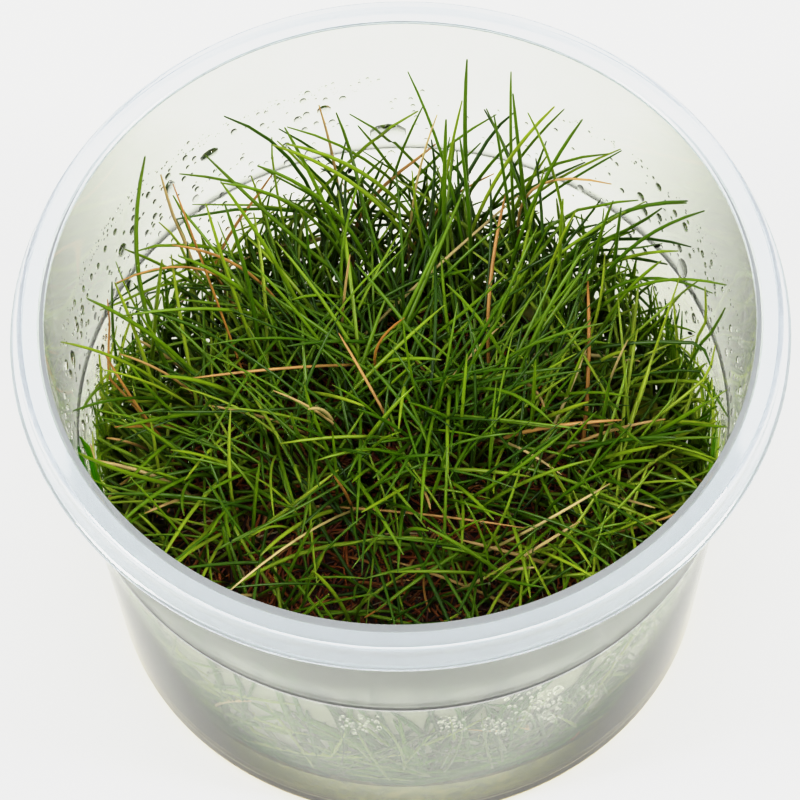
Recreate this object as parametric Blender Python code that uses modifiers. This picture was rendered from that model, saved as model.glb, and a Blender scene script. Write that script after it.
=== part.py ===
"""Dwarf hairgrass grown as one clump in a round, open culture cup.

The cup is a thin turned plastic shell. A disc of nutrient gel lies in its bottom, a low tangled mat of roots
and runners rests on the gel, and tufts of round pointed stems stand on the mat and lean out to the cup's wall.
Metres, +Z up. The origin is on the standing surface, under the middle of the cup."""
import math
import random

import bmesh
import bpy
from mathutils import Matrix, Vector, noise
from mathutils.bvhtree import BVHTree

COLLECTION = "dwarf_hairgrass_in_cup"
SEED = 7
MERGE_DISTANCE = 0.00001
GAP = 0.0003                      # free space left between neighbouring pieces

# The cup, outside radii unless a name says otherwise
CUP_HEIGHT = 0.0640
SKIRT_RADIUS = 0.0500             # the widest circle, at the lower edge of the rim's skirt
SKIRT_DROP = 0.0041
SKIRT_WALL = 0.0009
SKIRT_BEAD = 0.0004
SKIRT_BEAD_HEIGHT = 0.0008
FLANGE_RADIUS = 0.0490
FLANGE_THICKNESS = 0.0010
FLANGE_ROUNDING = 0.0009
MOUTH_RADIUS = 0.0454             # inner edge of the flange
MOUTH_ROUNDING = 0.0005
WALL = 0.0009
STEP_HEIGHT = 0.0378
STEP_RADIUS = 0.0434              # lower wall just under the step
STEP_WIDTH = 0.0006
STEP_RISE = 0.0006
BASE_RADIUS = 0.0404
BASE_ROUNDING = 0.0012
INSIDE_CORNER = 0.0018
FOOT_INNER_RADIUS = 0.0360        # the foot is a ring, and the floor inside it is raised
FOOT_RECESS = 0.0005
FLOOR_THICKNESS = 0.0011
WALL_LEAN = 4                     # degrees, the lower wall's draft
CORNER_STEPS = 3
EDGE_STEPS = 2
CUP_STEPS = 52

# The gel in the bottom
GEL_TOP = 0.0095
GEL_MENISCUS = 0.0006
GEL_MENISCUS_WIDTH = 0.0020
GEL_STEPS = 40

# The mat of roots and runners on the gel
MAT_RADIUS = 0.0370
MAT_TOP = 0.0235
MAT_EDGE_TOP = 0.0165
MAT_LUMP = 0.0022
MAT_LUMP_SPACING = 0.0070
MAT_EDGE_LUMP = 0.06              # how far the lumps draw the side in, as a part of the radius
MAT_SHOULDER = 0.75               # under 1 it fills the dome's shoulder out
MAT_SIDE_SLOPE = 3.0
MAT_UNDERSIDE = -0.02             # part of the ball below this is the flat underside
MAT_UNDERCUT = 0.97
MAT_SEGMENTS = 32
MAT_RINGS = 12

# The tufts, one in the middle and the others on rings around it
TUFT_RINGS = 3
TUFTS_PER_RING = 6                # the first ring's count, and each ring's step
TUFT_SPACING = 0.0106
TUFT_JITTER = 0.0004
CROWN_RADIUS = 0.0022
CROWN_FOOTPRINT = 0.0015
CROWN_PROBES = 6                  # points round the footprint where the mat's height is read
STEM_MIN_RISE = 0.1               # a crown face that points up more than this can grow a stem
STEEP_RISE = 0.5                  # one that points up more than this grows a steep stem
STEEP_STEMS = 2
STEEP_STEMS_APART = 2             # crown faces from one steep stem to the other
STEM_SPREAD_STEEP = 0.16          # reach of a tuft's steep and low stems, as parts of the spacing
STEM_SPREAD_LOW = 0.42
STEM_SPREAD_LEAST = 0.88          # the closest stem's part of its reach
STEM_SWING = 0.2                  # radians that a stem turns aside from its crown face
STEM_STATIONS = (0.22, 0.62, 1.0)
STEM_WIDTHS = (0.0009, 0.0008, 0.0003)
STEM_ROOT_SPREAD = 0.75           # a stem's reach at its root, as a part of its reach at the tip
STEM_SHORTEST = 0.6
STEM_LONGEST = 0.86               # of all stems but a tuft's tallest
TIP_HEIGHT_MIDDLE = 0.0580
TIP_RISE_BACK = 0.0030            # the clump is tallest at its back and lowest at its front
TIP_DROP_FRONT = 0.0180
TIP_DROP_SIDE = 0.0090
FLARE = 0.20                      # how far the stems lean outwards from root to tip
FLARE_POWER = 1.6


def clear_scene():
    """Removes every object that is in the scene already."""
    for obj in list(bpy.context.scene.objects):
        bpy.data.objects.remove(obj, do_unlink=True)


def material(name, colour, roughness, transmission=0.0, ior=1.45):
    """One plain surface finish for a sub-part."""
    mat = bpy.data.materials.new(name)
    mat.use_nodes = True
    shader = mat.node_tree.nodes["Principled BSDF"]
    shader.inputs["Base Color"].default_value = (*colour, 1.0)
    shader.inputs["Roughness"].default_value = roughness
    shader.inputs["Metallic"].default_value = 0.0
    shader.inputs["Transmission Weight"].default_value = transmission
    shader.inputs["IOR"].default_value = ior
    return mat


def add_object(name, mesh, mat, collection):
    """Puts a mesh in the collection as a named object with its material."""
    obj = bpy.data.objects.new(name, mesh)
    mesh.materials.append(mat)
    collection.objects.link(obj)
    return obj


def arc(centre_r, centre_z, radius, start, end, count):
    """Points on a profile's round corner, from one angle in degrees to another."""
    angles = [math.radians(start + (end - start) * i / count) for i in range(count + 1)]
    return [(centre_r + radius * math.cos(a), centre_z + radius * math.sin(a)) for a in angles]


def turned(name, profile, steps, mat, collection):
    """A solid turned about the Z axis from a profile that runs down its outer side."""
    mesh = bpy.data.meshes.new(name)
    points = [(r, 0.0, z) for r, z in profile]
    edges = [(i, i + 1) for i in range(len(points) - 1)]
    mesh.from_pydata(points, edges, [])
    obj = add_object(name, mesh, mat, collection)
    screw = obj.modifiers.new("Turn", "SCREW")
    screw.axis = "Z"
    screw.angle = math.tau
    screw.steps = steps
    screw.render_steps = steps
    screw.use_merge_vertices = True
    screw.merge_threshold = MERGE_DISTANCE
    screw.use_smooth_shade = True
    return obj


def inside_radius(height):
    """The cup's inner radius at a height above its floor."""
    if height < STEP_HEIGHT:
        share = height / STEP_HEIGHT
        return BASE_RADIUS + (STEP_RADIUS - BASE_RADIUS) * share - WALL
    share = (height - STEP_HEIGHT) / (CUP_HEIGHT - STEP_HEIGHT)
    low = STEP_RADIUS + STEP_WIDTH - WALL
    return low + (MOUTH_RADIUS - low) * share


def cup_profile():
    """From the middle of the inside floor, up the inner wall, over the rim and down the outer side."""
    floor_top = FOOT_RECESS + FLOOR_THICKNESS
    skirt_bottom = CUP_HEIGHT - SKIRT_DROP
    under_flange = CUP_HEIGHT - FLANGE_THICKNESS
    corner_r = inside_radius(floor_top + INSIDE_CORNER) - INSIDE_CORNER
    step_top = STEP_HEIGHT + STEP_RISE
    return [
        (0.0, floor_top),
        *arc(corner_r, floor_top + INSIDE_CORNER, INSIDE_CORNER, -90, -WALL_LEAN, CORNER_STEPS),
        (STEP_RADIUS - WALL, STEP_HEIGHT),
        (STEP_RADIUS + STEP_WIDTH - WALL, step_top),
        *arc(MOUTH_RADIUS + MOUTH_ROUNDING, CUP_HEIGHT - MOUTH_ROUNDING, MOUTH_ROUNDING, 180, 90, EDGE_STEPS),
        *arc(FLANGE_RADIUS - FLANGE_ROUNDING, CUP_HEIGHT - FLANGE_ROUNDING, FLANGE_ROUNDING, 90, 0, CORNER_STEPS),
        (SKIRT_RADIUS - SKIRT_BEAD, skirt_bottom + 2 * SKIRT_BEAD_HEIGHT),
        (SKIRT_RADIUS, skirt_bottom + SKIRT_BEAD_HEIGHT),
        (SKIRT_RADIUS, skirt_bottom),
        (SKIRT_RADIUS - SKIRT_WALL, skirt_bottom),
        (FLANGE_RADIUS - SKIRT_WALL, under_flange),
        (MOUTH_RADIUS + WALL, under_flange),
        (STEP_RADIUS + STEP_WIDTH, step_top),
        (STEP_RADIUS, STEP_HEIGHT),
        *arc(BASE_RADIUS - BASE_ROUNDING, BASE_ROUNDING, BASE_ROUNDING, 0, -90, CORNER_STEPS),
        (FOOT_INNER_RADIUS, 0.0),
        (FOOT_INNER_RADIUS - FOOT_RECESS, FOOT_RECESS),
        (0.0, FOOT_RECESS),
    ]


def gel_profile():
    """The gel fills the bottom of the cup and climbs a little at the wall."""
    bottom = FOOT_RECESS + FLOOR_THICKNESS + GAP
    edge_top = GEL_TOP + GEL_MENISCUS
    corner_r = inside_radius(bottom + INSIDE_CORNER) - GAP - INSIDE_CORNER
    top_r = inside_radius(edge_top) - GAP
    return [
        (0.0, GEL_TOP),
        (top_r - GEL_MENISCUS_WIDTH, GEL_TOP),
        (top_r - GEL_MENISCUS, GEL_TOP + GEL_MENISCUS / 3),
        (top_r, edge_top),
        *arc(corner_r, bottom + INSIDE_CORNER, INSIDE_CORNER, -WALL_LEAN, -90, CORNER_STEPS),
        (0.0, bottom),
    ]


def root_mat(mat, collection):
    """A flattened ball drawn into a low lumpy dome with a flat underside."""
    bottom = GEL_TOP + GAP
    bm = bmesh.new()
    bmesh.ops.create_uvsphere(bm, u_segments=MAT_SEGMENTS, v_segments=MAT_RINGS, radius=1.0)
    for vert in bm.verts:
        unit = vert.co.copy()
        reach = min(1.0, math.hypot(unit.x, unit.y)) ** MAT_SHOULDER
        direction = Vector((unit.x, unit.y, 0.0))
        if direction.length > 0.0:
            direction.normalize()
        place = direction * reach * MAT_RADIUS
        lump = 0.5 + 0.5 * noise.noise(Vector((place.x, place.y, unit.z * MAT_RADIUS)) / MAT_LUMP_SPACING)
        if unit.z < MAT_UNDERSIDE:
            place.z = bottom
            place.xy *= MAT_UNDERCUT
        else:
            top = MAT_TOP + (MAT_EDGE_TOP - MAT_TOP) * reach ** 2
            rise = min(1.0, max(0.0, unit.z) * MAT_SIDE_SLOPE)
            place.z = bottom + (top - bottom - MAT_LUMP * lump) * rise
            place.xy *= 1.0 - MAT_EDGE_LUMP * lump
        vert.co = place
    mesh = bpy.data.meshes.new("root_mat")
    bm.to_mesh(mesh)
    bm.free()
    return add_object("root_mat", mesh, mat, collection)


def surface_height(tree, spot):
    """The highest point of the mat under a crown's footprint."""
    probes = [Vector((spot.x, spot.y, CUP_HEIGHT))]
    for i in range(CROWN_PROBES):
        angle = math.tau * i / CROWN_PROBES
        aside = Vector((math.cos(angle), math.sin(angle), 0.0)) * CROWN_FOOTPRINT
        probes.append(probes[0] + aside)
    down = Vector((0.0, 0.0, -1.0))
    return max(tree.ray_cast(probe, down)[0].z for probe in probes)


def clump_height(cell):
    """How high the tips stand over a place of the plan."""
    reach = TUFT_RINGS * TUFT_SPACING
    along, across = cell.y / reach, cell.x / reach
    slope = TIP_RISE_BACK if along > 0.0 else TIP_DROP_FRONT
    return TIP_HEIGHT_MIDDLE + slope * along - TIP_DROP_SIDE * across ** 2


def stem_point(cell, offset, crown_height, tip_height, share):
    """A stem's middle at a share of its way up.

    Every point of the plan moves outwards by the same factor at the same share, so neighbours never cross."""
    flare = 1.0 + FLARE * share ** FLARE_POWER
    spread = STEM_ROOT_SPREAD + (1.0 - STEM_ROOT_SPREAD) * share
    plan = (cell + offset * spread) * flare
    return Vector((plan.x, plan.y, crown_height + (tip_height - crown_height) * share))


def bearing(face):
    """The direction in plan that a crown's face looks in."""
    return math.atan2(face.normal.y, face.normal.x)


def grow_stem(bm, face, path, widths):
    """Extrudes one face of a crown along a path, narrower at each station."""
    for point, width in zip(path, widths):
        centre = face.calc_center_median()
        normal = face.normal.copy()
        heading = (point - centre).normalized()
        face = bmesh.ops.extrude_discrete_faces(bm, faces=[face])["faces"][0]
        verts = list(face.verts)
        size = max((v.co - centre).length for v in verts)
        turn = normal.rotation_difference(heading).to_matrix().to_4x4()
        about = Matrix.Translation(point) @ turn @ Matrix.Scale(width / size, 4) @ Matrix.Translation(-centre)
        bmesh.ops.transform(bm, matrix=about, verts=verts)
        face.normal_update()


def tuft(name, cell, ground, random_source, mat, collection):
    """A small crown with a few steep stems and a ring of low ones, each drawn out of one of its upper faces."""
    bm = bmesh.new()
    bmesh.ops.create_icosphere(bm, subdivisions=1, radius=CROWN_RADIUS)
    lowest = min(v.co.z for v in bm.verts)
    middle = Vector((cell.x, cell.y, ground + GAP - lowest))
    spin = Matrix.Rotation(random_source.uniform(0.0, math.tau), 4, "Z")
    bmesh.ops.transform(bm, matrix=Matrix.Translation(middle) @ spin, verts=bm.verts)
    bm.normal_update()

    tip_height = clump_height(cell)
    steep = sorted((face for face in bm.faces if face.normal.z > STEEP_RISE), key=bearing)
    low = sorted((face for face in bm.faces if STEM_MIN_RISE < face.normal.z <= STEEP_RISE), key=bearing)
    first = random_source.randrange(len(steep))
    steep = [steep[(first + STEEP_STEMS_APART * i) % len(steep)] for i in range(STEEP_STEMS)]
    tallest = random_source.randrange(STEEP_STEMS)
    for number, face in enumerate(steep + low):
        spread = STEM_SPREAD_STEEP if number < STEEP_STEMS else STEM_SPREAD_LOW
        aside = Matrix.Rotation(random_source.uniform(-STEM_SWING, STEM_SWING), 2)
        reach = spread * TUFT_SPACING * random_source.uniform(STEM_SPREAD_LEAST, 1.0)
        offset = aside @ Vector((face.normal.x, face.normal.y)).normalized() * reach
        length = 1.0 if number == tallest else random_source.uniform(STEM_SHORTEST, STEM_LONGEST)
        path = [stem_point(cell, offset, middle.z, tip_height, share * length) for share in STEM_STATIONS]
        grow_stem(bm, face, path, STEM_WIDTHS)
    bmesh.ops.recalc_face_normals(bm, faces=bm.faces)
    mesh = bpy.data.meshes.new(name)
    bm.to_mesh(mesh)
    bm.free()
    return add_object(name, mesh, mat, collection)


def tuft_cells(random_source):
    """Plan positions of the tufts, ring by ring from the middle."""
    cells = [Vector((0.0, 0.0))]
    for ring in range(1, TUFT_RINGS + 1):
        count = TUFTS_PER_RING * ring
        start = random_source.uniform(0.0, math.tau)
        for i in range(count):
            angle = start + math.tau * i / count
            radius = ring * TUFT_SPACING + random_source.uniform(-TUFT_JITTER, TUFT_JITTER)
            cells.append(Vector((radius * math.cos(angle), radius * math.sin(angle))))
    return cells


def main():
    clear_scene()
    collection = bpy.data.collections.new(COLLECTION)
    bpy.context.scene.collection.children.link(collection)
    random_source = random.Random(SEED)

    plastic = material("clear_plastic", (0.78, 0.81, 0.80), 0.30, transmission=0.85, ior=1.49)
    gel = material("nutrient_gel", (0.66, 0.68, 0.36), 0.20, transmission=0.70, ior=1.34)
    roots = material("root_tangle", (0.10, 0.055, 0.025), 0.85)
    stems = material("green_stem", (0.13, 0.30, 0.025), 0.45)

    turned("cup", cup_profile(), CUP_STEPS, plastic, collection)
    turned("nutrient_gel", gel_profile(), GEL_STEPS, gel, collection)
    mat_object = root_mat(roots, collection)
    tree = BVHTree.FromPolygons([v.co for v in mat_object.data.vertices],
                                [p.vertices for p in mat_object.data.polygons])
    for number, cell in enumerate(tuft_cells(random_source), start=1):
        ground = surface_height(tree, cell)
        tuft(f"tuft_{number:02d}", cell, ground, random_source, stems, collection)


main()
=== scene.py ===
import math

import bpy
import numpy as np
from mathutils import Matrix, Vector
from mathutils.bvhtree import BVHTree


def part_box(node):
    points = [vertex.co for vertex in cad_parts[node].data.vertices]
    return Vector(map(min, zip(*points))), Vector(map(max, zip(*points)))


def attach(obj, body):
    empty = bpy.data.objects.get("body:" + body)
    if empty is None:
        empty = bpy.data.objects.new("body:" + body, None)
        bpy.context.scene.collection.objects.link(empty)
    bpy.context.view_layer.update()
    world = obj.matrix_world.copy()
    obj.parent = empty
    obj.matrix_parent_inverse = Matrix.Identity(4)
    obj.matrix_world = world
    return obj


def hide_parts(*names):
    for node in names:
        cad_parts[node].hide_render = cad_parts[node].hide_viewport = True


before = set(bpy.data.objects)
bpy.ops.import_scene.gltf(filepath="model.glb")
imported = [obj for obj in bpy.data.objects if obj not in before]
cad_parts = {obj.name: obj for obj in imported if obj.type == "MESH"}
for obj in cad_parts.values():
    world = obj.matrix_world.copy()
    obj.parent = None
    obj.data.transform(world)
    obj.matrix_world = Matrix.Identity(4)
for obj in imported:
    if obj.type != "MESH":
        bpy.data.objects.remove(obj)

MM = 0.001
DOWN = Vector((0.0, 0.0, -1.0))
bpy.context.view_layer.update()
bpy.ops.object.select_all(action="DESELECT")

# The cup's measures, read from model.glb where it has them and else given here
CUP_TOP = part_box("cup")[1].z
SKIRT_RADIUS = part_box("cup")[1].x
SKIRT_DROP = 4.1 * MM
SKIRT_WALL = 0.9 * MM
SKIRT_BEAD = 0.4 * MM  # the radius of its lower edge's bead
SKIRT_EDGE = 0.2 * MM  # the bevel inside that edge
SKIRT_NECK = (0.05 * MM, 0.9 * MM)  # over the bead: how far in, and how far over the edge
SKIRT_SHOULDER = (0.08 * MM, 2.0 * MM)
FLANGE_RADIUS = 49.0 * MM
FLANGE_THICKNESS = 1.0 * MM
FLANGE_ROUNDING = 0.9 * MM
FLANGE_FILLET = (0.25 * MM, 0.3 * MM)
MOUTH_RADIUS = 45.4 * MM
MOUTH_ROUNDING = 0.3 * MM
WALL = 0.9 * MM
STEP_HEIGHT = 37.8 * MM
STEP_RADIUS = 43.4 * MM
STEP_WIDTH = 0.6 * MM
STEP_RISE = 0.6 * MM
STEP_SOFTNESS = 4.0 * MM  # how far over and under the step the wall bends
STEP_BEAD = 0.09 * MM  # the fine bead that marks the step outside
# Places up the bend outside, under the bead, on it and over it, and the bend's parts inside
STEP_PLACES = ((0.0, 0.12, 0.25, 0.38), (0.39, 0.4, 0.41), (0.43, 0.6, 0.75, 0.88, 1.0))
STEP_PARTS = 8
BASE_RADIUS = 40.4 * MM
BASE_ROUNDING = 1.2 * MM
INSIDE_CORNER = 1.8 * MM
FOOT_INNER_RADIUS = 36.0 * MM
FOOT_RECESS = 0.5 * MM
FLOOR_TOP = 1.6 * MM
WALL_LEAN = 4  # degrees
CORNER_PARTS = 6
EDGE_PARTS = 5  # of the finer roundings
CUP_SIDES = 192
SHARPEST_SMOOTH = 35  # degrees between faces that still shade as one

GEL_TOP = 9.5 * MM
GEL_MENISCUS = 0.6 * MM
MENISCUS_BEND = ((0.2 * MM, 0.45 * MM), (0.6 * MM, 0.2 * MM), (1.2 * MM, 0.05 * MM), (2.0 * MM, 0.0))
GEL_GAP = 0.05 * MM
MAT_DIVISIONS = 3
MAT_LUMPS = 1.6 * MM  # how wide and how high they are
MAT_SUNK = 0.75  # how much of a lump goes inwards
GRASS_TOP = CUP_TOP - 2 * MM  # the tips grew under the lid
TUFTS = sorted(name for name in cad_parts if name.startswith("tuft"))


# The photo's camera, and what it sees at a pixel of its 800 by 800 frame
PHOTO_SIZE = 800
LENS = 202.5
SENSOR = 36
CAMERA_PITCH = math.radians(58.71)
CAMERA_ROLL = math.radians(-1.85)
CAMERA_AIM = Vector((-0.33, -13.46, 64.0)) * MM
CAMERA_DISTANCE = 565.7 * MM
SIGHT_STEPS = 2000  # places tried along a line of sight


def photo_view():
    """The camera's place and turn as a matrix."""
    forward = Vector((0.0, math.cos(CAMERA_PITCH), -math.sin(CAMERA_PITCH)))
    right = Vector((1.0, 0.0, 0.0))
    upward = right.cross(forward)
    across = right * math.cos(CAMERA_ROLL) + upward * math.sin(CAMERA_ROLL)
    upward = upward * math.cos(CAMERA_ROLL) - right * math.sin(CAMERA_ROLL)
    turn = Matrix((across, upward, -forward)).transposed().to_4x4()
    return Matrix.Translation(CAMERA_AIM - forward * CAMERA_DISTANCE) @ turn


VIEW = photo_view()


def sight(pixel):
    """Where the camera stands and the way to what it sees at a pixel."""
    across, down = (2 * value / PHOTO_SIZE - 1 for value in pixel)
    half = SENSOR / 2 / LENS
    way = VIEW.to_3x3() @ Vector((across * half, -down * half, -1.0))
    return VIEW.translation.copy(), way.normalized()


def at_height(pixel, height):
    """The point at a height that the photo shows at a pixel."""
    eye, way = sight(pixel)
    return eye + way * ((height - eye.z) / way.z)


def beside(pixel, start, end):
    """The point seen at a pixel that lies nearest to the straight line from start to end."""
    eye, way = sight(pixel)
    line = (end - start).normalized()
    normal = line.cross(line.cross(way)).normalized()
    return eye + way * ((start - eye).dot(normal) / way.dot(normal))


def on_wall(pixel, near=False):
    """The place on the inner wall, far or near, that the photo shows at a pixel."""
    eye, way = sight(pixel)
    heights = np.linspace(CUP_TOP, FLOOR_TOP, SIGHT_STEPS)
    steps = (heights - eye.z) / way.z
    x, y = eye.x + way.x * steps, eye.y + way.y * steps
    outside = np.hypot(x, y) > inside_radius(heights)
    first = np.argmax(outside != near)
    return Vector((x[first], y[first], heights[first]))


def linear(colour):
    """An sRGB hex colour as the linear RGBA that shaders read."""
    values = [int(colour[i:i + 2], 16) / 255 for i in (1, 3, 5)]
    return (*[v / 12.92 if v <= 0.04045 else ((v + 0.055) / 1.055) ** 2.4 for v in values], 1.0)


def add(tree, kind, values=None, links=None, stops=None, **settings):
    """Adds a node with its settings, values, links and colour stops. A node links by its first output."""
    made = tree.nodes.new("ShaderNode" + kind)
    for name, value in settings.items():
        setattr(made, name, value)
    for name, value in (values or {}).items():
        made.inputs[name].default_value = value
    for name, source in (links or {}).items():
        tree.links.new(getattr(source, "outputs", [source])[0], made.inputs[name])
    if stops:
        elements = made.color_ramp.elements
        while len(elements) < len(stops):
            elements.new(0.5)
        for element, (place, colour) in zip(elements, stops):
            element.position = place
            element.color = linear(colour)
    return made


def linked(name, data):
    """A new object of the scene, with its data."""
    made = bpy.data.objects.new(name, data)
    bpy.context.collection.objects.link(made)
    return made


def blank_material(name):
    """A material without nodes, and its node tree."""
    mat = bpy.data.materials.new(name)
    mat.use_nodes = True
    tree = mat.node_tree
    tree.nodes.clear()
    return mat, tree


def shown(mat, shader, volume=None):
    """The material, its output linked to a shader and to a volume if there is one."""
    links = {"Surface": shader}
    if volume:
        links["Volume"] = volume
    add(mat.node_tree, "OutputMaterial", links=links)
    return mat


# The sizes of the finishes' patterns
FLOW_MARKS = 9 * MM
GEL_CLOUDS = 3 * MM
ROOT_CLUMPS = 3 * MM
ROOT_FIBRES = 0.5 * MM
FIBRE_RELIEF = 0.4 * MM
STEM_MOTTLES = 1.2 * MM
LAMINATE_GRAIN = 40 * MM

# The cup's finishes: their parts of it, colours, roughness, transmission and coat
CUP_FINISHES = (
    ("wall", "#F7F9EC", 0.05, 1.0, 0.0),
    ("collar", "#EAEEE8", 0.34, 1.0, 0.0),
    ("rim", "#E9F0F8", 0.14, 0.78, 1.0),
    ("bead", "#F8FAF8", 0.2, 0.7, 1.0),
    # the foot's ochre is painted light: the gel's yellow glow through the thick foot, painted onto its faces
    ("foot", "#DBC98A", 0.25, 0.45, 0.0),
)
WALL_FINISH, COLLAR_FINISH, RIM_FINISH, BEAD_FINISH, FOOT_PAINTED_GEL_GLOW = range(5)


def polypropylene(name, colour, roughness, transmission, coat):
    """Moulded natural polypropylene: milky, see-through up close, with a faint orange-peel gloss."""
    mat, tree = blank_material(name)
    place = add(tree, "TexCoord").outputs["Object"]
    cloud = add(tree, "TexNoise", {"Scale": 1 / FLOW_MARKS, "Detail": 3.0}, {"Vector": place})
    rough = add(tree, "MapRange",
                {"From Min": 0.3, "From Max": 0.7, "To Min": roughness * 0.85, "To Max": roughness * 1.15},
                {"Value": cloud})
    values = {"Base Color": linear(colour), "Transmission Weight": transmission, "IOR": 1.49,
              "Coat Weight": coat, "Coat Roughness": 0.05}
    return shown(mat, add(tree, "BsdfPrincipled", values, {"Roughness": rough}))


def culture_gel():
    """Agar gel: clear, soft and wet, yellowed by the roots, with a little haze."""
    mat, tree = blank_material("culture_agar_gel")
    place = add(tree, "TexCoord").outputs["Object"]
    cloud = add(tree, "TexNoise", {"Scale": 1 / GEL_CLOUDS, "Detail": 5.0, "Roughness": 0.65},
                {"Vector": place})
    rough = add(tree, "MapRange", {"From Min": 0.3, "From Max": 0.7, "To Min": 0.08, "To Max": 0.2},
                {"Value": cloud})
    colour = add(tree, "ValToRGB", links={"Fac": cloud},
                 stops=[(0.3, "#7C8A20"), (0.5, "#A3AB32"), (0.7, "#CFC65A")])
    shader = add(tree, "BsdfPrincipled", {"Transmission Weight": 0.4, "IOR": 1.34},
                 {"Base Color": colour, "Roughness": rough})
    return shown(mat, shader, add(tree, "VolumeAbsorption", {"Color": linear("#E2CC3C"), "Density": 22.0}))


def water():
    """Condensed water: perfectly clear and smooth."""
    mat, tree = blank_material("condensed_water")
    values = {"Base Color": linear("#FFFFFF"), "Roughness": 0.0, "Transmission Weight": 1.0, "IOR": 1.33}
    return shown(mat, add(tree, "BsdfPrincipled", values))


def mist():
    """Breath-fine condensation: a pale haze that light passes straight through or scatters from."""
    mat, tree = blank_material("condensation_mist")
    values = {"Base Color": linear("#E4E8DA"), "Roughness": 0.0, "Specular IOR Level": 0.0,
              "Transmission Weight": MIST_CLEARNESS, "IOR": 1.0}
    return shown(mat, add(tree, "BsdfPrincipled", values))


def root_peat(name, dark, light):
    """Dead and living roots: damp brown fibre, nearly black in its hollows."""
    mat, tree = blank_material(name)
    place = add(tree, "TexCoord").outputs["Object"]
    clump = add(tree, "TexNoise", {"Scale": 1 / ROOT_CLUMPS, "Detail": 6.0, "Roughness": 0.7},
                {"Vector": place})
    colour = add(tree, "ValToRGB", links={"Fac": clump}, stops=[(0.38, dark), (0.68, light)])
    fibre = add(tree, "TexNoise", {"Scale": 1 / ROOT_FIBRES, "Detail": 3.0}, {"Vector": place})
    bump = add(tree, "Bump", {"Strength": 0.6, "Distance": FIBRE_RELIEF}, {"Height": fibre})
    rough = add(tree, "MapRange", {"To Min": 0.45, "To Max": 0.85}, {"Value": fibre})
    links = {"Base Color": colour, "Roughness": rough, "Normal": bump}
    return shown(mat, add(tree, "BsdfPrincipled", links=links))


def strand_colours(tree, tints, fades):
    """A strand's colour: its own tint, times how that fades from its root to its tip."""
    strand = add(tree, "Attribute", attribute_name="strand")
    parts = add(tree, "SeparateXYZ", links={"Vector": strand.outputs["Vector"]})
    tint = add(tree, "ValToRGB", links={"Fac": parts.outputs["X"]}, stops=tints)
    fade = add(tree, "ValToRGB", links={"Fac": parts.outputs["Y"]}, stops=fades)
    mix = add(tree, "Mix", {"Factor": 1.0}, {"A": tint, "B": fade}, data_type="RGBA", blend_type="MULTIPLY")
    return mix.outputs["Result"]


def root_fibre():
    """Fine sedge roots: wiry, red-brown, some pale and young."""
    mat, tree = blank_material("sedge_root_fibre")
    tints = [(0.0, "#2E0F04"), (0.4, "#7C320E"), (0.78, "#C26A24"), (0.95, "#CC9850"), (1.0, "#D8CFA4")]
    colour = strand_colours(tree, tints, [(0.0, "#B0B0B0"), (1.0, "#FFFFFF")])
    return shown(mat, add(tree, "BsdfPrincipled", {"Roughness": 0.5}, {"Base Color": colour}))


def green_stem(name, greens, gloss):
    """Sedge stem: smooth, waxy and wet, yellow-green in the light, brown at its sheath, straw when dead."""
    mat, tree = blank_material(name)
    fades = [(0.0, "#4A3418"), (0.08, "#7A6A35"), (0.2, "#C8D0B0"), (0.6, "#F4F6EA"), (0.9, "#FFFFFF"),
             (1.0, "#D8D4B8")]
    colour = strand_colours(tree, [*greens, (0.95, "#DCC48C"), (1.0, "#C4803C")], fades)
    place = add(tree, "TexCoord").outputs["Object"]
    mottle = add(tree, "TexNoise", {"Scale": 1 / STEM_MOTTLES, "Detail": 2.0}, {"Vector": place})
    rough = add(tree, "MapRange", {"To Min": 0.22, "To Max": 0.45}, {"Value": mottle})
    shader = add(tree, "BsdfPrincipled", {"Specular IOR Level": gloss, "IOR": 1.42},
                 {"Base Color": colour, "Roughness": rough})
    return shown(mat, shader)


def laminate():
    """Matt white laminate: an even white with hardly any grain or gloss."""
    mat, tree = blank_material("matt_white_laminate")
    place = add(tree, "TexCoord").outputs["Object"]
    grain = add(tree, "TexNoise", {"Scale": 1 / LAMINATE_GRAIN, "Detail": 2.0}, {"Vector": place})
    colour = add(tree, "ValToRGB", links={"Fac": grain}, stops=[(0.3, "#F3F3F1"), (0.7, "#F5F5F3")])
    return shown(mat, add(tree, "BsdfPrincipled", {"Roughness": 0.8}, {"Base Color": colour}))


def arc(centre_r, centre_z, radius, start, end, count=CORNER_PARTS):
    """Points on a profile's round corner, from one angle in degrees to another."""
    angles = [math.radians(start + (end - start) * i / count) for i in range(count + 1)]
    return [(centre_r + radius * math.cos(a), centre_z + radius * math.sin(a)) for a in angles]


def turned(name, profile):
    """A closed turned piece: a disc whose face is drawn along a profile that starts under its middle."""
    radius, height = profile[0]
    place = (0, 0, height)
    bpy.ops.mesh.primitive_circle_add(vertices=CUP_SIDES, radius=radius, fill_type="NGON", location=place)
    piece = bpy.context.object
    piece.name = name
    bpy.ops.object.transform_apply(location=True)
    bpy.ops.object.mode_set(mode="EDIT")
    for next_radius, next_height in profile[1:]:
        bpy.ops.mesh.extrude_region_move(TRANSFORM_OT_translate={"value": (0, 0, next_height - height)})
        scale = next_radius / radius
        bpy.ops.transform.resize(value=(scale, scale, 1.0), center_override=(0, 0, next_height))
        radius, height = next_radius, next_height
    bpy.ops.mesh.select_all(action="DESELECT")
    bpy.ops.mesh.select_non_manifold()
    bpy.ops.mesh.edge_face_add()
    bpy.ops.object.mode_set(mode="OBJECT")
    bpy.ops.object.shade_smooth_by_angle(angle=math.radians(SHARPEST_SMOOTH))
    piece.select_set(False)
    return piece


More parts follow.
